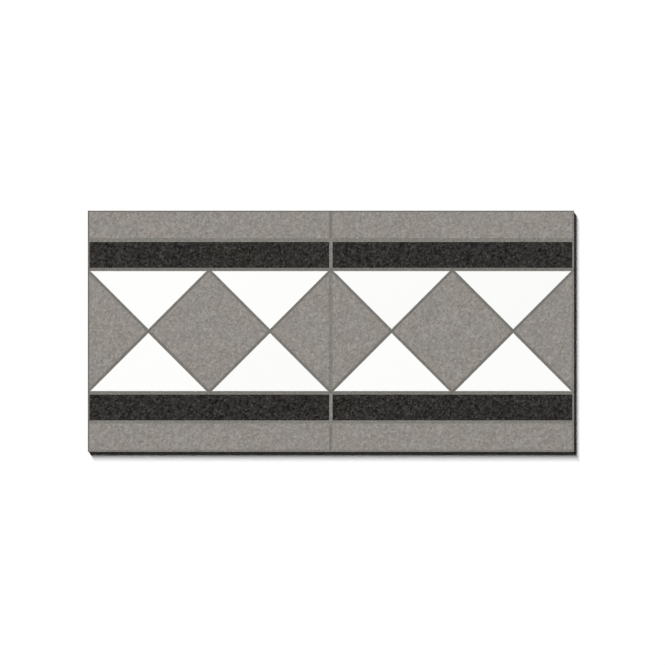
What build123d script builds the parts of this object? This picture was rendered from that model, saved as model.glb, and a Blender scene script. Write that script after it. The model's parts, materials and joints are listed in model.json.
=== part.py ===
from build123d import *
import os
from math import sqrt

# Border tile: a panel of two square modules, pieced from unglazed porcelain and set in a lattice of grout.
# A band of squares on their points, with white triangles between them, runs between black and grey strips.
# The origin is at the middle of the back. +X runs along the border, +Y across it and +Z out of the face.

# Driving dimensions, in millimetres
MODULE_LENGTH = 150.0  # one module along the border, from joint centre to joint centre
JOINT_WIDTH = 2.05  # straight joints along the strips and between the modules
DIAGONAL_JOINT_WIDTH = 1.7  # slanting joints round the squares
GREY_STRIP_WIDTH = 16.3
BLACK_STRIP_WIDTH = 16.0
TIP_CLEARANCE = 0.7  # from a square's point to the base line of the triangles beside it
PIECE_THICKNESS = 9.0  # face to back
ARRIS_RADIUS = 0.3  # easing of the edges round each face
JOINT_RECESS = 0.35  # from the faces down to the grout
TOOLING_DEPTH = 0.15  # hollow that a round-nosed tool leaves along the middle of each joint
TOOLING_LAND = 0.15  # level grout left along both sides of that hollow

# Counts
MODULES = 2
SQUARES_PER_MODULE = 2  # whole ones inside the module, and a half at each of its ends

# Band of squares and triangles
SQUARE_PITCH = MODULE_LENGTH / SQUARES_PER_MODULE
SQUARE_REACH = SQUARE_PITCH / 2 - DIAGONAL_JOINT_WIDTH / sqrt(2)  # centre of a square to its point
BAND_HALF_WIDTH = SQUARE_REACH + TIP_CLEARANCE
TRIANGLE_HEIGHT = BAND_HALF_WIDTH - DIAGONAL_JOINT_WIDTH / sqrt(2)
HALF_SQUARE_HEIGHT = SQUARE_REACH - JOINT_WIDTH / 2

# Strips on each side of the band, and the panel that holds them all with half a joint round its edge
STRIP_LENGTH = MODULE_LENGTH - JOINT_WIDTH
BLACK_STRIP_CENTRE = BAND_HALF_WIDTH + JOINT_WIDTH + BLACK_STRIP_WIDTH / 2
GREY_STRIP_CENTRE = BLACK_STRIP_CENTRE + BLACK_STRIP_WIDTH / 2 + JOINT_WIDTH + GREY_STRIP_WIDTH / 2
PANEL_LENGTH = MODULES * MODULE_LENGTH
PANEL_WIDTH = 2 * GREY_STRIP_CENTRE + GREY_STRIP_WIDTH + JOINT_WIDTH
GROUT_HEIGHT = PIECE_THICKNESS - JOINT_RECESS
INNER_JOINT = BAND_HALF_WIDTH + JOINT_WIDTH / 2  # middle of the joint beside the band
OUTER_JOINT = BLACK_STRIP_CENTRE + (BLACK_STRIP_WIDTH + JOINT_WIDTH) / 2  # and of that between the strips

SIDES = {"front": -1, "rear": 1}  # the two sides of the band, by the sign of Y

os.makedirs("parts", exist_ok=True)


def along_border(pitch, count):
    """Places of a row of like pieces along X, centred on the panel."""
    return [(place - (count - 1) / 2) * pitch for place in range(count)]


def pointing(x, y, towards_x, towards_y):
    """Plane on the back at (x, y), turned so that its own Y axis points along the panel direction given."""
    return Plane(origin=(x, y, 0), x_dir=(towards_y, -towards_x, 0), z_dir=(0, 0, 1))


def make_strip(label, x, y, width):
    """One straight strip, lying along the border. Returns its outline."""
    with BuildPart() as strip:
        with BuildSketch(Plane((x, y, 0))) as outline:
            Rectangle(STRIP_LENGTH, width)
        extrude(amount=PIECE_THICKNESS)
        fillet(strip.edges().group_by(Axis.Z)[-1], radius=ARRIS_RADIUS)
    strip.part.label = label
    export_step(strip.part, f"parts/{label}.step")
    return outline.sketch


def make_square(label, x):
    """One square on its point, in the middle of the band. Returns its outline."""
    side = SQUARE_REACH * sqrt(2)
    with BuildPart() as square:
        with BuildSketch(pointing(x, 0, 1, 1)) as outline:
            Rectangle(side, side)
        extrude(amount=PIECE_THICKNESS)
        fillet(square.edges().group_by(Axis.Z)[-1], radius=ARRIS_RADIUS)
    square.part.label = label
    export_step(square.part, f"parts/{label}.step")
    return outline.sketch


def make_triangle(label, base, height):
    """One right-angled triangle, with its long side on the X axis of its plane. Returns its outline."""
    with BuildPart() as triangle:
        with BuildSketch(base) as outline:
            with BuildLine():
                Polyline((-height, 0), (height, 0), (0, height), close=True)
            make_face()
        extrude(amount=PIECE_THICKNESS)
        fillet(triangle.edges().group_by(Axis.Z)[-1], radius=ARRIS_RADIUS)
    triangle.part.label = label
    export_step(triangle.part, f"parts/{label}.step")
    return outline.sketch


outlines = []
module_centres = along_border(MODULE_LENGTH, MODULES)

# Grey strips along the outer edges and black strips inside them
for side, sign in SIDES.items():
    for number, x in enumerate(module_centres, start=1):
        grey_y = sign * GREY_STRIP_CENTRE
        black_y = sign * BLACK_STRIP_CENTRE
        outlines.append(make_strip(f"grey_strip_{side}_{number}", x, grey_y, GREY_STRIP_WIDTH))
        outlines.append(make_strip(f"black_strip_{side}_{number}", x, black_y, BLACK_STRIP_WIDTH))

# White triangles, with their long sides along the black strips and their points at the middle of the band
for side, sign in SIDES.items():
    for number, x in enumerate(along_border(SQUARE_PITCH, MODULES * SQUARES_PER_MODULE), start=1):
        base = pointing(x, sign * BAND_HALF_WIDTH, 0, -sign)
        outlines.append(make_triangle(f"white_triangle_{side}_{number}", base, TRIANGLE_HEIGHT))

# Whole grey squares inside each module
whole_offsets = along_border(SQUARE_PITCH, SQUARES_PER_MODULE - 1)
whole_places = [centre + offset for centre in module_centres for offset in whole_offsets]
for number, x in enumerate(whole_places, start=1):
    outlines.append(make_square(f"grey_square_{number}", x))

# Grey half squares at the ends of each module, with their points towards its middle
half_places = [(centre + end * STRIP_LENGTH / 2, -end) for centre in module_centres for end in (-1, 1)]
for number, (x, towards) in enumerate(half_places, start=1):
    base = pointing(x, 0, towards, 0)
    outlines.append(make_triangle(f"grey_half_square_{number}", base, HALF_SQUARE_HEIGHT))

# Middle lines of the joints, each as its two ends and its width
half_length = PANEL_LENGTH / 2
half_width = PANEL_WIDTH / 2
joints = []
for sign in SIDES.values():
    for distance in (INNER_JOINT, OUTER_JOINT, half_width):
        y = sign * distance
        joints.append(((-half_length, y), (half_length, y), JOINT_WIDTH))
for x in along_border(MODULE_LENGTH, MODULES + 1):
    joints.append(((x, -half_width), (x, half_width), JOINT_WIDTH))
for x in along_border(SQUARE_PITCH, MODULES * SQUARES_PER_MODULE):
    for sign in SIDES.values():
        low_end = (x - sign * INNER_JOINT, -INNER_JOINT)
        high_end = (x + sign * INNER_JOINT, INNER_JOINT)
        joints.append((low_end, high_end, DIAGONAL_JOINT_WIDTH))

# Grout between all the pieces and round the edge of the panel, from the back up to just below the faces.
# Each joint is hollowed by a round-nosed tool, and the joints round the edge show half of that hollow.
with BuildPart() as grout:
    with BuildSketch() as lattice:
        Rectangle(PANEL_LENGTH, PANEL_WIDTH)
        add(outlines, mode=Mode.SUBTRACT)
    extrude(amount=GROUT_HEIGHT)
    for (start_x, start_y), (end_x, end_y), width in joints:
        hollow_width = width - 2 * TOOLING_LAND
        tool_radius = (hollow_width**2 / 4 + TOOLING_DEPTH**2) / (2 * TOOLING_DEPTH)
        tool_height = GROUT_HEIGHT - TOOLING_DEPTH + tool_radius
        path = Vector(end_x - start_x, end_y - start_y)
        with BuildSketch(Plane(origin=(start_x, start_y, tool_height), z_dir=path)):
            Circle(tool_radius)
        extrude(amount=path.length, mode=Mode.SUBTRACT)
grout.part.label = "grout"
export_step(grout.part, "parts/grout.step")
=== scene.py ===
"""Looks of a pieced border tile: fired porcelain, the grout that binds it, and the studio round them.

Lengths are in metres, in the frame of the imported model: +X runs along the border, +Y across it and +Z out
of the decorated face. Every piece is modelled over its node of that frame, which gives its size and place.
"""

import json
import logging
import math
import random
from contextlib import contextmanager
from dataclasses import dataclass, field
from enum import Enum
from typing import Callable, Iterator

import bmesh
import bpy
from mathutils import Euler, Matrix, Vector


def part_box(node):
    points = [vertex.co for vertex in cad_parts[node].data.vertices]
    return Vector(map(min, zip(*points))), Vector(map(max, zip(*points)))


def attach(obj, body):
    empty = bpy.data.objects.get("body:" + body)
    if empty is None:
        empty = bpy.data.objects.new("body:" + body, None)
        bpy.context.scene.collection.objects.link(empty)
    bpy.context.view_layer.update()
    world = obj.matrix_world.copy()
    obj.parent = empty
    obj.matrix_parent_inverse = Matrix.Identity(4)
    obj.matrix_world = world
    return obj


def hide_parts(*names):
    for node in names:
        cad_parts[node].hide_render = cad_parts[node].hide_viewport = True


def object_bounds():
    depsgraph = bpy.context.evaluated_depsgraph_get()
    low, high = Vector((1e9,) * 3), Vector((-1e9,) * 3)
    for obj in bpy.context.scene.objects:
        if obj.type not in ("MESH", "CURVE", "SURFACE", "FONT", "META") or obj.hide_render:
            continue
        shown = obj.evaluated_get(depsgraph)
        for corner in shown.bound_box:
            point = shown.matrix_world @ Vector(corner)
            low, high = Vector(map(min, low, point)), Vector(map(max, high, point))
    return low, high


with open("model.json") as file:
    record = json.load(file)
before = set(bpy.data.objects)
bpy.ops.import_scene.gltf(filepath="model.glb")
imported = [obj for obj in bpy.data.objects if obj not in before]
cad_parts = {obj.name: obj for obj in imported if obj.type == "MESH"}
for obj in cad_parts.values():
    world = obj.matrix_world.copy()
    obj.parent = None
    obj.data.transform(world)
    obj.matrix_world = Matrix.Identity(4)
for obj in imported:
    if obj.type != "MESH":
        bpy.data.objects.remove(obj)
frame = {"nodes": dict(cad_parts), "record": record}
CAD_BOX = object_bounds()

Colour = tuple[float, float, float]
Point = tuple[float, float]

MM = 0.001
HAIR = 0.002 * MM  # two places closer than this are the same
UPRIGHT = 0.5  # a face whose normal rises less than this is a side

log = logging.getLogger("border_tile")


class Heading(Enum):
    """Ways on the panel that a piece's own +Y can point, as a turn about Z."""

    REAR = 0.0
    LEFT = math.pi / 2
    FRONT = math.pi
    RIGHT = -math.pi / 2


class Slot(Enum):
    """Material slots of the record."""

    GREY = "grey_porcelain"
    BLACK = "black_porcelain"
    WHITE = "white_porcelain"
    GROUT = "grout"


def linear(red: int, green: int, blue: int) -> Colour:
    """Turns a display colour into scene-linear values.

    Args:
        red: Red, from 0 to 255.
        green: Green, from 0 to 255.
        blue: Blue, from 0 to 255.

    Returns:
        The linear colour that renders as the display colour under plain light.
    """
    shares = (channel / 255 for channel in (red, green, blue))
    return tuple(s / 12.92 if s <= 0.04045 else ((s + 0.055) / 1.055) ** 2.4 for s in shares)


def take_up(piece: bpy.types.Object) -> None:
    """Makes a piece the one selected and active object.

    Args:
        piece: The object to take up.
    """
    bpy.ops.object.select_all(action="DESELECT")
    piece.select_set(True)
    bpy.context.view_layer.objects.active = piece


@contextmanager
def editing(piece: bpy.types.Object) -> Iterator[None]:
    """Opens a piece in edit mode with nothing selected, and closes it again.

    Args:
        piece: The mesh object to edit.
    """
    take_up(piece)
    bpy.ops.object.mode_set(mode="EDIT")
    bpy.ops.mesh.reveal(select=False)
    bpy.ops.mesh.select_all(action="DESELECT")
    yield
    bpy.ops.object.mode_set(mode="OBJECT")


def pick_faces(piece: bpy.types.Object, wanted: Callable[[bmesh.types.BMFace], bool]) -> None:
    """Selects the faces of a piece in edit mode that pass a test of their place or normal.

    Args:
        piece: The mesh object in edit mode.
        wanted: The test.
    """
    bpy.ops.mesh.select_mode(type="FACE")
    mesh = bmesh.from_edit_mesh(piece.data)
    for face in mesh.faces:
        face.select_set(wanted(face))
    bmesh.update_edit_mesh(piece.data)


def pick_edges(piece: bpy.types.Object, wanted: Callable[[bmesh.types.BMEdge], bool]) -> None:
    """Selects the edges of a piece in edit mode that pass a test of their place.

    Args:
        piece: The mesh object in edit mode.
        wanted: The test.
    """
    bpy.ops.mesh.select_mode(type="EDGE")
    mesh = bmesh.from_edit_mesh(piece.data)
    for edge in mesh.edges:
        edge.select_set(wanted(edge))
    bmesh.update_edit_mesh(piece.data)


def score(piece: bpy.types.Object, axis: int, cell: float) -> None:
    """Cuts what is shown of a piece in edit mode into even slices across one axis.

    Args:
        piece: The mesh object in edit mode.
        axis: The axis to cut across, 0 for X, 1 for Y and 2 for Z.
        cell: Largest width of a slice.
    """
    places = [corner[axis] for corner in piece.bound_box]
    low, high = min(places), max(places)
    slices = math.ceil((high - low) / cell)
    normal = [0.0, 0.0, 0.0]
    normal[axis] = 1.0
    for cut in range(1, slices):
        point = [0.0, 0.0, 0.0]
        point[axis] = low + (high - low) * cut / slices
        bpy.ops.mesh.select_all(action="SELECT")
        bpy.ops.mesh.bisect(plane_co=point, plane_no=normal, threshold=HAIR)


def apply_modifier(piece: bpy.types.Object, kind: str, **settings: object) -> None:
    """Adds one modifier to a piece, sets it and applies it.

    Args:
        piece: The mesh object.
        kind: Blender's name for the modifier type.
        settings: The modifier's properties.
    """
    take_up(piece)
    bpy.ops.object.modifier_add(type=kind)
    modifier = piece.modifiers[-1]
    for name, value in settings.items():
        setattr(modifier, name, value)
    bpy.ops.object.modifier_apply(modifier=modifier.name)


def weigh(piece: bpy.types.Object, name: str, weight: Callable[[Vector], float]) -> None:
    """Gives a piece a vertex group whose weights follow from each point's place.

    Args:
        piece: The mesh object.
        name: The group's name.
        weight: Weight at a place, from 0 to 1.
    """
    group = piece.vertex_groups.new(name=name)
    for vertex in piece.data.vertices:
        group.add([vertex.index], weight(vertex.co), "REPLACE")


def paint(piece: bpy.types.Object, name: str, values: list[float]) -> None:
    """Gives a piece a point attribute.

    Args:
        piece: The mesh object.
        name: The attribute's name.
        values: Its value at each point, in order.
    """
    attribute = piece.data.attributes.new(name, "FLOAT", "POINT")
    attribute.data.foreach_set("value", values)


@dataclass(frozen=True)
class Relief:
    """Lumps on a surface: the size of the largest, how many finer layers they have, and their depth.

    They are pressed in along the surface's normals, or else straight down.
    """

    name: str
    lump: float
    layers: int
    depth: float
    straight_down: bool = False

    def texture(self) -> bpy.types.Texture:
        """Makes the texture of the lumps, once for each name.

        Returns:
            The texture.
        """
        texture = bpy.data.textures.get(self.name)
        if texture is None:
            texture = bpy.data.textures.new(self.name, "CLOUDS")
            texture.noise_scale = self.lump
            texture.noise_depth = self.layers
        return texture

    def press(self, piece: bpy.types.Object, group: str) -> None:
        """Presses the lumps into a piece.

        Args:
            piece: The mesh object.
            group: The vertex group that says where, and how deeply.
        """
        apply_modifier(
            piece, "DISPLACE", texture=self.texture(), texture_coords="LOCAL", vertex_group=group,
            mid_level=1.0, strength=self.depth, direction="Z" if self.straight_down else "NORMAL",
        )


class Shader:
    """A node tree under construction, with short ways to add and join nodes."""

    def __init__(self, tree: bpy.types.NodeTree) -> None:
        """Takes the tree to fill."""
        self.tree = tree

    def add(self, kind: str, **settings: object) -> bpy.types.Node:
        """Adds a node and sets its properties.

        Args:
            kind: The node's type, without the leading words that all shader nodes share.
            settings: The node's properties.

        Returns:
            The node.
        """
        node = self.tree.nodes.new(kind if kind.startswith("Node") else "ShaderNode" + kind)
        for name, value in settings.items():
            setattr(node, name, value)
        return node

    def join(self, source: bpy.types.NodeSocket, target: bpy.types.NodeSocket) -> None:
        """Links an output to an input."""
        self.tree.links.new(source, target)

    def feed(self, target: bpy.types.NodeSocket, source: object) -> None:
        """Feeds an input from an output, or sets it to a plain value.

        Args:
            target: The input.
            source: The output, or the value.
        """
        if isinstance(source, bpy.types.NodeSocket):
            self.join(source, target)
        else:
            target.default_value = source

    def math(self, operation: str, *operands: object) -> bpy.types.NodeSocket:
        """Works out a number.

        Args:
            operation: Blender's name for the operation.
            operands: Sockets or numbers, in order.

        Returns:
            The result's socket.
        """
        node = self.add("Math", operation=operation)
        for target, source in zip(node.inputs, operands):
            self.feed(target, source)
        return node.outputs["Value"]

    def blend(
        self, factor: object, first: object, second: object, way: str = "MIX"
    ) -> bpy.types.NodeSocket:
        """Mixes two colours.

        Args:
            factor: Share of the second colour.
            first: First colour.
            second: Second colour.
            way: Blender's name for the way of mixing.

        Returns:
            The mixed colour's socket.
        """
        node = self.add("Mix", data_type="RGBA", blend_type=way)
        for name, source in (("Factor_Float", factor), ("A_Color", first), ("B_Color", second)):
            target = next(socket for socket in node.inputs if socket.identifier == name)
            if isinstance(source, tuple):
                source = (*source, 1.0)
            self.feed(target, source)
        return next(socket for socket in node.outputs if socket.identifier == "Result_Color")

    def noise(self, vector: bpy.types.NodeSocket, scale: object, detail: float) -> bpy.types.NodeSocket:
        """Returns the value of a soft noise over a vector.

        Args:
            vector: Where the noise is read.
            scale: Lumps for each metre.
            detail: How many finer layers it has.

        Returns:
            The noise's socket, from 0 to 1 about a middle of 0.5.
        """
        node = self.add("TexNoise")
        self.join(vector, node.inputs["Vector"])
        self.feed(node.inputs["Scale"], scale)
        node.inputs["Detail"].default_value = detail
        return node.outputs["Fac"]

    def spread(self, value: object, low: float, high: float) -> bpy.types.NodeSocket:
        """Spreads a value from 0 to 1 over a range of its own.

        Args:
            value: The value.
            low: What 0 becomes.
            high: What 1 becomes.

        Returns:
            The spread value's socket.
        """
        node = self.add("MapRange")
        for name, source in (("Value", value), ("To Min", low), ("To Max", high)):
            self.feed(node.inputs[name], source)
        return node.outputs["Result"]


MOTTLE_PER_GRAIN = 1.7  # lumps of the mottle along the width of one grain
MOTTLE_LAYERS = 2.0
CLOUD_LAYERS = 3.0
MEAN_OF_FOUR = 0.25  # a grain's tone is the mean of three chance values and the mottle


def grain_group() -> bpy.types.NodeTree:
    """Builds the group that the porcelain and the grout share: grains of chance tones, and slow clouds.

    Returns:
        The group, with Grain Size and Cloud Size in, and Grain, Cloud and Height out.
    """
    name = "pressed_grains"
    tree = bpy.data.node_groups.get(name)
    if tree is not None:
        return tree
    tree = bpy.data.node_groups.new(name, "ShaderNodeTree")
    for socket in ("Grain Size", "Cloud Size"):
        tree.interface.new_socket(socket, in_out="INPUT", socket_type="NodeSocketFloat")
    for socket in ("Grain", "Cloud", "Height"):
        tree.interface.new_socket(socket, in_out="OUTPUT", socket_type="NodeSocketFloat")
    shader = Shader(tree)
    entry = shader.add("NodeGroupInput")
    result = shader.add("NodeGroupOutput")
    place = shader.add("TexCoord").outputs["Object"]
    per_metre = shader.math("DIVIDE", 1.0, entry.outputs["Grain Size"])
    cells = shader.add("TexVoronoi", voronoi_dimensions="3D", feature="F1")
    shader.join(place, cells.inputs["Vector"])
    shader.join(per_metre, cells.inputs["Scale"])
    tones = shader.add("SeparateColor")
    shader.join(cells.outputs["Color"], tones.inputs["Color"])
    tone = shader.math("ADD", tones.outputs["Red"], tones.outputs["Green"])
    tone = shader.math("ADD", tone, tones.outputs["Blue"])
    mottle = shader.noise(place, shader.math("MULTIPLY", per_metre, MOTTLE_PER_GRAIN), MOTTLE_LAYERS)
    mottle_share = shader.math("MULTIPLY", mottle, MEAN_OF_FOUR)
    grain = shader.math("MULTIPLY_ADD", tone, MEAN_OF_FOUR, mottle_share)
    shader.join(grain, result.inputs["Grain"])
    cloud = shader.noise(place, shader.math("DIVIDE", 1.0, entry.outputs["Cloud Size"]), CLOUD_LAYERS)
    shader.join(cloud, result.inputs["Cloud"])
    shader.join(shader.math("SUBTRACT", grain, cells.outputs["Distance"]), result.inputs["Height"])
    return tree


@dataclass(frozen=True)
class Finish:
    """A matt mineral finish: grains of dark, middle and pale tones, tinted in slow clouds.

    The tones run from dark through body to pale, as far as the reach on each side of the middle grain. The
    film and shade colour is what jointing leaves on the arrises of the porcelain; on grout it is painted
    shade in the hollows of the joints, and the darker colour of the rear and left rims.
    """

    name: str
    dark: Colour
    body: Colour
    pale: Colour
    film_and_shade: Colour
    film_and_shade_share: float
    grain_size: float
    reach: float = 0.5
    cloud_size: float = 13.0 * MM
    warm: Colour = (1.028, 1.0, 0.968)
    cool: Colour = (0.974, 1.0, 1.026)
    tint_range: tuple[float, float] = (-0.5, 1.5)
    roughness: tuple[float, float] = (0.72, 0.82)
    specular: float = 0.25
    bump: float = 0.12
    bump_depth: float = 0.05 * MM

    def material(self) -> bpy.types.Material:
        """Makes this finish a material, once.

        Returns:
            The material.
        """
        material = bpy.data.materials.get(self.name)
        if material is None:
            material = bpy.data.materials.new(self.name)
            material.use_nodes = True
            self._fill(material.node_tree)
        return material

    def _fill(self, tree: bpy.types.NodeTree) -> None:
        """Lays out the material's nodes.

        Args:
            tree: The material's node tree.
        """
        tree.nodes.clear()
        shader = Shader(tree)
        grains = shader.add("Group", node_tree=grain_group())
        grains.inputs["Grain Size"].default_value = self.grain_size
        grains.inputs["Cloud Size"].default_value = self.cloud_size
        grain = grains.outputs["Grain"]

        tones = shader.add("ValToRGB")
        middle = 0.5
        tones.color_ramp.elements.new(middle)
        stops = tones.color_ramp.elements
        places = (middle - self.reach, middle, middle + self.reach)
        for stop, place, colour in zip(stops, places, (self.dark, self.body, self.pale)):
            stop.position = place
            stop.color = (*colour, 1.0)
        shader.join(grain, tones.inputs["Fac"])

        warmth = shader.spread(grains.outputs["Cloud"], *self.tint_range)
        tint = shader.blend(warmth, self.cool, self.warm)
        tinted = shader.blend(1.0, tones.outputs["Color"], tint, "MULTIPLY")
        firing = shader.add("Attribute", attribute_name="firing").outputs["Fac"]
        fired = shader.add("VectorMath", operation="SCALE")
        shader.join(tinted, fired.inputs[0])
        shader.join(firing, fired.inputs["Scale"])
        # On porcelain the arris attribute marks the film on the arrises; on grout it carries painted shade in
        # the joint hollows and the darker rear and left rims.
        arris = shader.add("Attribute", attribute_name="arris").outputs["Fac"]
        film_and_shade_share = shader.math("MULTIPLY", arris, self.film_and_shade_share)
        filmed_and_shaded = shader.blend(film_and_shade_share, fired.outputs["Vector"], self.film_and_shade)

        bump = shader.add("Bump")
        bump.inputs["Strength"].default_value = self.bump
        bump.inputs["Distance"].default_value = self.bump_depth
        shader.join(grains.outputs["Height"], bump.inputs["Height"])

        surface = shader.add("BsdfPrincipled")
        surface.inputs["Specular IOR Level"].default_value = self.specular
        shader.join(filmed_and_shaded, surface.inputs["Base Color"])
        shader.join(shader.spread(grain, *self.roughness), surface.inputs["Roughness"])
        shader.join(bump.outputs["Normal"], surface.inputs["Normal"])
        output = shader.add("OutputMaterial")
        shader.join(surface.outputs["BSDF"], output.inputs["Surface"])


FINISHES = {
    Slot.GREY: Finish(
        name="grey_speckled_porcelain",
        dark=linear(110, 105, 99), body=linear(142, 137, 132), pale=linear(173, 168, 162),
        film_and_shade=linear(132, 128, 122), film_and_shade_share=0.2, grain_size=1.2 * MM,
    ),
    Slot.BLACK: Finish(
        name="black_speckled_porcelain",
        dark=linear(4, 4, 4), body=linear(43, 41, 39), pale=linear(73, 71, 68),
        film_and_shade=linear(41, 39, 37), film_and_shade_share=0.2, grain_size=1.1 * MM, reach=0.3,
        warm=(1.07, 1.0, 0.93), cool=(0.94, 1.0, 1.07), specular=0.1,
    ),
    Slot.WHITE: Finish(
        name="white_plain_porcelain",
        dark=linear(249, 249, 248), body=linear(251, 251, 250), pale=linear(253, 253, 252),
        film_and_shade=linear(238, 237, 233), film_and_shade_share=0.25, grain_size=0.9 * MM,
        warm=(1.003, 1.0, 0.996), cool=(0.998, 1.0, 1.002), bump=0.06,
    ),
    # The grout's dark film and shade colour is painted shade in the joint hollows and the darker colour of
    # the rear and left rims.
    Slot.GROUT: Finish(
        name="sanded_cement_grout",
        dark=linear(105, 102, 97), body=linear(134, 131, 126), pale=linear(161, 158, 153),
        film_and_shade=linear(87, 85, 79), film_and_shade_share=1.0, grain_size=0.9 * MM, cloud_size=9.0 * MM,
        roughness=(0.85, 0.95), specular=0.15, bump=0.3, bump_depth=0.08 * MM,
    ),
}


@dataclass
class Form:
    """Plan form of fired pieces. One pattern is pressed for each form, and every piece is a copy of it."""

    thickness: float
    arris: float = 0.15 * MM
    arris_steps: int = 3
    cell: float = 1.5 * MM

    def blank(self, low: float, high: float) -> bpy.types.Object:
        """Makes the plain prism of this form about the origin.

        Args:
            low: Height of its back.
            high: Height of its face.

        Returns:
            The prism.
        """
        raise NotImplementedError

    def press(self) -> bpy.types.Object:
        """Makes the pattern: the prism, with its arrises eased and its face scored into small cells.

        Returns:
            The pattern, about the origin with its back at Z zero.
        """
        pattern = self.blank(0.0, self.thickness)
        with editing(pattern):
            self._ease_arrises(pattern)
            self._score_face(pattern)
        return pattern

    def _ease_arrises(self, pattern: bpy.types.Object) -> None:
        """Rounds the edges round the face.

        Args:
            pattern: The prism, in edit mode.
        """
        face_level = self.thickness - HAIR
        pick_edges(pattern, lambda edge: all(vertex.co.z > face_level for vertex in edge.verts))
        bpy.ops.mesh.bevel(offset=self.arris, segments=self.arris_steps, profile=0.5, affect="EDGES")

    def _score_face(self, pattern: bpy.types.Object) -> None:
        """Cuts the face and its arrises into cells, and leaves the sides and the back whole.

        Args:
            pattern: The eased prism, in edit mode.
        """
        arris_level = self.thickness - self.arris - HAIR
        pick_faces(pattern, lambda face: all(vertex.co.z > arris_level for vertex in face.verts))
        bpy.ops.mesh.hide(unselected=True)
        for axis in (0, 1):
            score(pattern, axis, self.cell)
        bpy.ops.mesh.reveal(select=False)

    def arris_share(self, place: Vector) -> float:
        """Returns 1 on the foot of the arris, falling to 0 on the face."""
        return min(1.0, max(0.0, (self.thickness - place.z) / self.arris))


@dataclass
class StripForm(Form):
    """A straight strip, lying along the border."""

    length: float = 0.0
    width: float = 0.0

    def blank(self, low: float, high: float) -> bpy.types.Object:
        """Makes the strip's plain prism, about the origin.

        Args:
            low: Height of its back.
            high: Height of its face.

        Returns:
            The prism.
        """
        size = (self.length, self.width, high - low)
        bpy.ops.object.select_all(action="DESELECT")
        bpy.ops.mesh.primitive_cube_add(size=1.0, location=(0.0, 0.0, (low + high) / 2), scale=size)
        bpy.ops.object.transform_apply(location=True, rotation=True, scale=True)
        return bpy.context.active_object


@dataclass
class SquareForm(Form):
    """A square on its point, with its corners on the X and Y axes."""

    reach: float = 0.0

    def blank(self, low: float, high: float) -> bpy.types.Object:
        """Makes the square's plain prism, about the origin.

        Args:
            low: Height of its back.
            high: Height of its face.

        Returns:
            The prism.
        """
        middle = (0.0, 0.0, (low + high) / 2)
        bpy.ops.object.select_all(action="DESELECT")
        bpy.ops.mesh.primitive_cylinder_add(vertices=4, radius=self.reach, depth=high - low, location=middle)
        bpy.ops.object.transform_apply(location=True, rotation=True, scale=True)
        return bpy.context.active_object


@dataclass
class TriangleForm(SquareForm):
    """Half of a square on its point: its long side lies on the X axis and its right angle points along +Y."""

    def blank(self, low: float, high: float) -> bpy.types.Object:
        """Makes the triangle's plain prism, sawn from the square's, about the origin.

        Args:
            low: Height of its back.
            high: Height of its face.

        Returns:
            The prism.
        """
        prism = super().blank(low, high)
        with editing(prism):
            bpy.ops.mesh.select_all(action="SELECT")
            bpy.ops.mesh.bisect(
                plane_co=(0.0, 0.0, 0.0), plane_no=(0.0, 1.0, 0.0),
                use_fill=True, clear_inner=True, threshold=HAIR,
            )
        return prism


@dataclass
class FiredPiece:
    """One porcelain piece of the panel: a copy of its form's pattern, with arrises and face of its own."""

    node: str
    form: Form
    heading: Heading
    slot: Slot
    arris_wear: Relief = Relief("arris_wear", lump=3.0 * MM, layers=2, depth=0.05 * MM)
    kiln_warp: Relief = Relief("kiln_warp", lump=24.0 * MM, layers=1, depth=0.03 * MM, straight_down=True)

    def place(self) -> Matrix:
        """Works out where the piece lies, from its node's box.

        Returns:
            The turn and move that take the form's pattern to its place.
        """
        low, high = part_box(self.node)
        spot = (low + high) / 2
        if isinstance(self.form, TriangleForm):
            spot.x = {Heading.RIGHT: low.x, Heading.LEFT: high.x}.get(self.heading, spot.x)
            spot.y = {Heading.REAR: low.y, Heading.FRONT: high.y}.get(self.heading, spot.y)
        turn = Matrix.Rotation(self.heading.value, 4, "Z")
        return Matrix.Translation((spot.x, spot.y, low.z)) @ turn

    def build(self, pattern: bpy.types.Object, firing: float) -> bpy.types.Object:
        """Copies the pattern into place and finishes it.

        Args:
            pattern: The form's pattern.
            firing: How much paler or darker than its fellows the kiln left the piece, about 1.

        Returns:
            The finished piece.
        """
        piece = bpy.data.objects.new("fired_" + self.node, pattern.data.copy())
        bpy.context.scene.collection.objects.link(piece)
        weigh(piece, "worn_edge", self._arris_weight)
        weigh(piece, "open_face", self._face_weight)
        paint(piece, "arris", [self.form.arris_share(vertex.co) for vertex in piece.data.vertices])
        paint(piece, "firing", [firing] * len(piece.data.vertices))
        piece.data.transform(self.place())
        self.arris_wear.press(piece, "worn_edge")
        self.kiln_warp.press(piece, "open_face")
        piece.vertex_groups.clear()
        bpy.ops.object.shade_smooth()
        apply_modifier(piece, "WEIGHTED_NORMAL", keep_sharp=True)
        self._dress(piece)
        return piece

    def _arris_weight(self, place: Vector) -> float:
        """Returns 1 in the middle of the arris and 0 at its foot and on the face."""
        return math.sin(math.pi * self.form.arris_share(place))

    def _face_weight(self, place: Vector) -> float:
        """Returns 1 on the face and 0 at the foot of the arris."""
        return 1.0 - self.form.arris_share(place)

    def _dress(self, piece: bpy.types.Object) -> None:
        """Gives the piece its finish and its place in the frame.

        Args:
            piece: The finished mesh.
        """
        piece.data.materials.clear()
        piece.data.materials.append(FINISHES[self.slot].material())
        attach(piece, "root")
        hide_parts(self.node)


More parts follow.
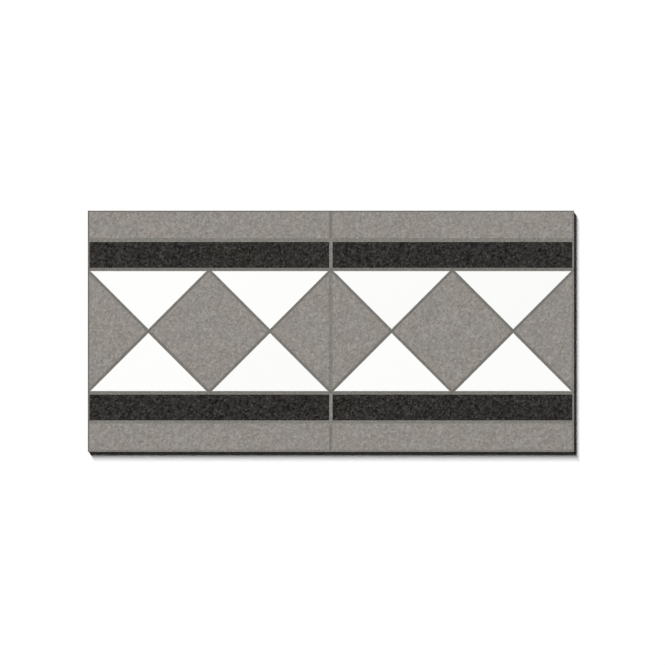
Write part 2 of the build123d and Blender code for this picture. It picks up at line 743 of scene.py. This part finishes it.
@dataclass
class PorcelainField:
    """All the fired pieces of the panel."""

    seed: int = 11
    firing_spread: float = 0.009
    pieces: list[FiredPiece] = field(default_factory=list)

    def __post_init__(self) -> None:
        """Lists the pieces, with their forms taken from their nodes."""
        for node in sorted(frame["nodes"]):
            slot = self._slot_of(node)
            if slot is not Slot.GROUT:
                self.pieces.append(FiredPiece(node, self._form_of(node), self._heading_of(node), slot))

    @staticmethod
    def _slot_of(node: str) -> Slot:
        """Returns the record's material slot of a node."""
        rows = frame["record"]["subparts"]
        return next(Slot(row["material_slot"]) for row in rows if row["node"] == node)

    @staticmethod
    def _form_of(node: str) -> Form:
        """Works out the form of a node's piece, at its size.

        Args:
            node: The node's name.

        Returns:
            The form.
        """
        low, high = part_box(node)
        size = high - low
        if "strip" in node:
            return StripForm(size.z, length=size.x, width=size.y)
        if "half_square" in node or "triangle" in node:
            return TriangleForm(size.z, reach=min(size.x, size.y))
        return SquareForm(size.z, reach=size.x / 2)

    @staticmethod
    def _heading_of(node: str) -> Heading:
        """Works out which way a node's piece points.

        Args:
            node: The node's name.

        Returns:
            Towards the band for triangles, and towards their module's middle for half squares.
        """
        if "half_square" in node:
            return Heading.RIGHT if int(node[-1]) % 2 else Heading.LEFT
        return Heading.FRONT if "triangle_rear" in node else Heading.REAR

    def build(self) -> None:
        """Presses one pattern for each form and builds every piece from it."""
        chance = random.Random(self.seed)
        patterns: dict[str, bpy.types.Object] = {}
        for piece in self.pieces:
            form_name = piece.node.rstrip("_0123456789").removesuffix("_front").removesuffix("_rear")
            if form_name not in patterns:
                patterns[form_name] = piece.form.press()
            firing = 1.0 + chance.uniform(-self.firing_spread, self.firing_spread)
            built = piece.build(patterns[form_name], firing)
            log.info("%s: %d faces", built.name, len(built.data.polygons))
        for pattern in patterns.values():
            bpy.data.objects.remove(pattern)


@dataclass(frozen=True)
class Joint:
    """One joint: the middle of its centre line, that line's direction and half length, and its width.

    The darkening is how strongly the grout is painted darker along the centre line, from 0 to 1: painted
    shade in the joints between pieces, and a darker colour on the rear and left rims.
    """

    point: Point
    way: Point
    reach: float
    width: float
    darkening: float = 0.0

    def share_at(self, place: Vector, land: float) -> float:
        """Works out how near a place is to the middle of the joint's hollow.

        Args:
            place: The place.
            land: Level grout left along both sides of the hollow.

        Returns:
            1 on the centre line, falling to 0 beside the hollow and past the line's ends.
        """
        east, north = place.x - self.point[0], place.y - self.point[1]
        if abs(east * self.way[0] + north * self.way[1]) > self.reach + HAIR:
            return 0.0
        off = abs(east * self.way[1] - north * self.way[0])
        share = off / (self.width / 2 - land)
        return max(0.0, 1.0 - share * share)


@dataclass
class GroutLattice:
    """The grout between the pieces and round the edge of the panel, hollowed along each joint and sanded.

    The rise is how far the float leaves the grout above the node's level, up the sides of the pieces. Painted
    shade darkens the hollows of the joints between the strips, beside the band, round the squares, across a
    square and between the ends of grey strips, and the rear and left rims are painted darker.
    """

    node: str = "grout"
    cell: float = 0.6 * MM
    rise: float = 0.25 * MM
    hollow_depth: float = 0.06 * MM
    land: float = 0.15 * MM
    window_margin: float = 2.0 * MM
    sharp_angle: float = math.radians(50.0)
    sand: Relief = Relief("joint_sand", lump=1.1 * MM, layers=3, depth=0.03 * MM, straight_down=True)
    mould_marks: Relief = Relief("mould_marks", lump=4.0 * MM, layers=3, depth=0.06 * MM)
    # How strongly the grout is painted darker along each kind of joint: painted shade in the joint hollows,
    # and a darker rear and left rim.
    strip_shade: float = 0.2
    band_shade: float = 0.45
    slant_shade: float = 0.6
    square_shade: float = 0.2
    end_shade: float = 0.4
    rim_darkening: float = 0.9
    low: Vector = field(init=False)
    high: Vector = field(init=False)

    def __post_init__(self) -> None:
        """Takes the lattice's box from its node."""
        self.low, self.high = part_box(self.node)
        self.high.z += self.rise

    def build(self, pieces: list[FiredPiece]) -> None:
        """Models the lattice round the pieces and finishes it.

        Args:
            pieces: The fired pieces that the grout holds.
        """
        lattice = self._slab()
        self._score_sides(lattice)
        self._cut_windows(lattice, pieces)
        self._hollow(lattice, self._joints(pieces))
        self._roughen(lattice)
        self._dress(lattice)
        log.info("%s: %d faces", lattice.name, len(lattice.data.polygons))

    def _slab(self) -> bpy.types.Object:
        """Makes a slab of the node's size, with its top in small cells.

        Returns:
            The slab: a fine grid, with sides drawn down from its border and a plain back.
        """
        size = self.high - self.low
        middle = (self.low + self.high) / 2
        bpy.ops.object.select_all(action="DESELECT")
        bpy.ops.mesh.primitive_grid_add(
            x_subdivisions=math.ceil(size.x / self.cell), y_subdivisions=math.ceil(size.y / self.cell),
            size=1.0, location=(middle.x, middle.y, self.high.z),
        )
        slab = bpy.context.active_object
        slab.name = "jointing_grout"
        slab.scale = (size.x, size.y, 1.0)
        bpy.ops.object.transform_apply(location=True, rotation=True, scale=True)
        with editing(slab):
            pick_edges(slab, lambda edge: edge.is_boundary)
            bpy.ops.mesh.extrude_edges_move(TRANSFORM_OT_translate={"value": (0.0, 0.0, -size.z)})
            bpy.ops.mesh.edge_face_add()
            bpy.ops.mesh.select_all(action="SELECT")
            bpy.ops.mesh.normals_make_consistent(inside=False)
        return slab

    def _cut_windows(self, lattice: bpy.types.Object, pieces: list[FiredPiece]) -> None:
        """Cuts a window through the slab for each piece.

        Args:
            lattice: The slab.
            pieces: The pieces to make room for.
        """
        cutters = []
        for piece in pieces:
            cutter = piece.form.blank(-self.window_margin, piece.form.thickness + self.window_margin)
            cutter.data.transform(piece.place())
            cutters.append(cutter)
        bpy.ops.object.select_all(action="DESELECT")
        for cutter in cutters:
            cutter.select_set(True)
        bpy.context.view_layer.objects.active = cutters[0]
        bpy.ops.object.join()
        cutter = bpy.context.active_object
        apply_modifier(lattice, "BOOLEAN", object=cutter, operation="DIFFERENCE", solver="MANIFOLD")
        bpy.data.objects.remove(cutter)

    def _outside(self, place: Vector) -> bool:
        """Tells whether a place is on the panel's outer sides."""
        gaps = [min(place[axis] - self.low[axis], self.high[axis] - place[axis]) for axis in (0, 1)]
        return min(gaps) < HAIR

    def _score_sides(self, slab: bpy.types.Object) -> None:
        """Cuts the outer sides into small cells.

        Args:
            slab: The slab, before its windows are cut.
        """
        with editing(slab):
            pick_faces(slab, lambda face: abs(face.normal.z) < UPRIGHT)
            bpy.ops.mesh.hide(unselected=True)
            score(slab, 2, self.cell)

    def _joints(self, pieces: list[FiredPiece]) -> list[Joint]:
        """Works out the joints from the boxes of the pieces beside them.

        Args:
            pieces: The fired pieces.

        Returns:
            The joints along the border, across it and round the squares.
        """
        black_low, black_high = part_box("black_strip_rear_1")
        grey_low, grey_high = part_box("grey_strip_rear_1")
        band_edge = (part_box("white_triangle_rear_1")[1].y + black_low.y) / 2
        strip_edge = (black_high.y + grey_low.y) / 2
        width = grey_low.y - black_high.y

        # Each joint carries its painted shade; the rear and left rims carry the rim darkening, the front and
        # right rims none.
        along = [(self.low.y, 0.0), (self.high.y, self.rim_darkening)]
        for side in (-1.0, 1.0):
            along += [(side * band_edge, self.band_shade), (side * strip_edge, self.strip_shade)]
        joints = [Joint((0.0, y), (1.0, 0.0), self.high.x, width, darkening) for y, darkening in along]

        across = [(self.low.x, self.rim_darkening), (0.0, 0.0), (self.high.x, 0.0)]
        joints += [Joint((x, 0.0), (0.0, 1.0), self.high.y, width, darkening) for x, darkening in across]

        strip_middle, strip_reach = (grey_high.y + grey_low.y) / 2, (grey_high.y - grey_low.y) / 2
        stretches = [(0.0, band_edge, self.square_shade)]
        stretches += [(side * strip_middle, strip_reach, self.end_shade) for side in (-1.0, 1.0)]
        joints += [Joint((0.0, y), (0.0, 1.0), reach, width, darkening) for y, reach, darkening in stretches]
        return joints + self._slanting_joints(pieces, band_edge)

    def _slanting_joints(self, pieces: list[FiredPiece], band_edge: float) -> list[Joint]:
        """Works out the joints that cross at the points of the triangles.

        Args:
            pieces: The fired pieces.
            band_edge: How far the joints beside the band lie from its middle.

        Returns:
            Two joints for each triangle of the rear row, which serve the front row too.
        """
        diagonal = math.sqrt(0.5)
        joints = []
        for piece in pieces:
            if piece.node.startswith("white_triangle_rear"):
                low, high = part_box(piece.node)
                crossing = ((low.x + high.x) / 2, 0.0)
                width = 2.0 * low.y * diagonal
                for way in ((diagonal, -diagonal), (diagonal, diagonal)):
                    joints.append(Joint(crossing, way, band_edge / diagonal, width, self.slant_shade))
        return joints

    def _hollow(self, lattice: bpy.types.Object, joints: list[Joint]) -> None:
        """Presses a round hollow along the middle of every joint, and paints shade into it, darkest on the
        centre line; along the rear and left rims the grout is painted darker the same way.

        Args:
            lattice: The lattice with its windows cut.
            joints: The joints.
        """
        top = self.high.z - HAIR
        darkening = [0.0] * len(lattice.data.vertices)
        for vertex in lattice.data.vertices:
            if vertex.co.z > top:
                shares = [joint.share_at(vertex.co, self.land) for joint in joints]
                darkening[vertex.index] = max(share * joint.darkening for share, joint in zip(shares, joints))
                vertex.co.z -= self.hollow_depth * max(shares)
        # The grout's arris attribute holds this painted shade, which the grout's finish mixes towards its
        # dark colour.
        paint(lattice, "arris", darkening)

    def _roughen(self, lattice: bpy.types.Object) -> None:
        """Gives the hollows a sandy skin and the outer sides the marks of the mould.

        Args:
            lattice: The hollowed lattice.
        """
        skin = self.high.z - self.hollow_depth - HAIR
        weigh(lattice, "top", lambda place: float(place.z > skin and not self._outside(place)))
        weigh(lattice, "sides", lambda place: float(self._outside(place) and self.low.z + HAIR < place.z))
        self.sand.press(lattice, "top")
        self.mould_marks.press(lattice, "sides")
        lattice.vertex_groups.clear()

    def _dress(self, lattice: bpy.types.Object) -> None:
        """Gives the lattice its finish and its place in the frame.

        Args:
            lattice: The finished mesh.
        """
        take_up(lattice)
        bpy.ops.object.shade_smooth_by_angle(angle=self.sharp_angle)
        paint(lattice, "firing", [1.0] * len(lattice.data.vertices))
        lattice.data.materials.clear()
        lattice.data.materials.append(FINISHES[Slot.GROUT].material())
        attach(lattice, "root")
        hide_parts(self.node)


@dataclass
class Studio:
    """A white floor, a long key light from the rear left, a low one from the front right, and a camera above.

    The key is a strip that runs away from the tile. Its ends are given as how far they stand to the left and
    to the rear for each unit of its height. The low light reaches the upright sides and hardly the floor.
    The floor is white to the eye and darker to the light that it throws back.
    """

    key_near: Point = (0.185, 0.225)
    key_far: Point = (0.48, 0.8)
    key_breadth: float = 0.8
    key_height: float = 12.0
    level: float = 0.985
    low_place: tuple[float, float, float] = (8.5, -8.5, 0.25)
    low_size: Point = (4.0, 0.3)
    low_level: float = 0.1
    fill: float = 0.006
    floor_size: float = 30.0
    floor_gap: float = 0.02 * MM
    floor_bounce: float = 0.4
    floor_white: float = 1.04
    lens: float = 300.0
    frame_px: float = 665.0
    face_px: tuple[float, float, float, float] = (87.66, 210.4, 574.05, 451.95)

    def build(self) -> None:
        """Builds the floor, the lights and the camera."""
        bpy.context.scene.view_settings.view_transform = "Standard"
        self._floor()
        self._key()
        self._low_light()
        self._world()
        self._camera()

    @staticmethod
    def _seen(shader: Shader) -> bpy.types.NodeSocket:
        """Marks the rays that show a surface to the eye, straight, mirrored or through glass.

        Args:
            shader: The node tree that asks.

        Returns:
            A socket that is 1 for those rays and 0 for others.
        """
        path = shader.add("LightPath")
        mirrored = shader.math("MAXIMUM", path.outputs["Is Camera Ray"], path.outputs["Is Glossy Ray"])
        return shader.math("MAXIMUM", mirrored, path.outputs["Is Transmission Ray"])

    def _floor(self) -> None:
        """Lays the floor under the tile, white to the eye."""
        bpy.ops.object.select_all(action="DESELECT")
        bpy.ops.mesh.primitive_plane_add(size=self.floor_size, location=(0.0, 0.0, -self.floor_gap))
        floor = bpy.context.active_object
        floor.name = "floor"
        material = bpy.data.materials.new("white_floor")
        material.use_nodes = True
        material.node_tree.nodes.clear()
        shader = Shader(material.node_tree)
        paper, white = ((level,) * 3 for level in (self.floor_bounce, self.floor_white))
        surface = shader.add("BsdfDiffuse")
        shader.join(shader.blend(self._seen(shader), paper, white), surface.inputs["Color"])
        output = shader.add("OutputMaterial")
        shader.join(surface.outputs["BSDF"], output.inputs["Surface"])
        floor.data.materials.append(material)

    @staticmethod
    def _lamp(name: str, place: Vector, turn: Euler, size: Point, energy: float) -> None:
        """Hangs one oblong lamp.

        Args:
            name: The lamp's name.
            place: Where its middle hangs.
            turn: How it is turned from shining straight down.
            size: Its two sides.
            energy: Its power in watts.
        """
        bpy.ops.object.select_all(action="DESELECT")
        bpy.ops.object.light_add(type="AREA", location=place, rotation=turn)
        lamp = bpy.context.active_object
        lamp.name = name
        lamp.visible_camera = False
        lamp.data.shape = "RECTANGLE"
        lamp.data.size, lamp.data.size_y = size
        lamp.data.energy = energy

    def _key(self) -> None:
        """Hangs the key light, at the strength that brings a level surface to the studio's level."""
        ends = (self.key_near, self.key_far)
        near, far = (Vector((-left, rear, 1.0)) * self.key_height for left, rear in ends)
        place = (near + far) / 2
        run = far - near
        turn = Euler((0.0, 0.0, math.atan2(run.y, run.x)))
        energy = math.pi**2 * (self.level - self.fill) * place.length**4 / self.key_height**2
        self._lamp("key", place, turn, (run.length, self.key_breadth), energy)

    def _low_light(self) -> None:
        """Sets the low light, facing the tile, at the strength that gives a surface facing it its level."""
        place = Vector(self.low_place)
        turn = place.to_track_quat("Z", "Y").to_euler()
        energy = math.pi**2 * self.low_level * place.length_squared
        self._lamp("low_light", place, turn, self.low_size, energy)

    def _world(self) -> None:
        """Fills the room with weak light from everywhere, and shows it to the camera as white."""
        world = bpy.data.worlds.new("room")
        bpy.context.scene.world = world
        world.use_nodes = True
        world.node_tree.nodes.clear()
        shader = Shader(world.node_tree)
        to_camera = shader.add("LightPath").outputs["Is Camera Ray"]
        background = shader.add("Background")
        shader.join(shader.spread(to_camera, self.fill, 1.0), background.inputs["Strength"])
        output = shader.add("OutputWorld")
        shader.join(background.outputs["Background"], output.inputs["Surface"])

    def _camera(self) -> None:
        """Sets the camera straight above the face, framed as the photograph is."""
        low, high = CAD_BOX
        left, top, right, bottom = self.face_px
        metres_per_px = (high.x - low.x) / (right - left)
        centre_x = (low.x + high.x) / 2 + (self.frame_px / 2 - (left + right) / 2) * metres_per_px
        centre_y = (low.y + high.y) / 2 - (self.frame_px / 2 - (top + bottom) / 2) * metres_per_px
        camera = bpy.data.objects.new("camera", bpy.data.cameras.new("camera"))
        bpy.context.scene.collection.objects.link(camera)
        camera.data.lens = self.lens
        distance = self.frame_px * metres_per_px * self.lens / camera.data.sensor_width
        camera.location = (centre_x, centre_y, high.z + distance)
        bpy.context.scene.camera = camera


def main() -> None:
    """Builds the porcelain, the grout and the studio."""
    logging.basicConfig(level=logging.INFO, format="%(message)s")
    porcelain = PorcelainField()
    porcelain.build()
    GroutLattice().build(porcelain.pieces)
    Studio().build()


if __name__ == "__main__":
    main()
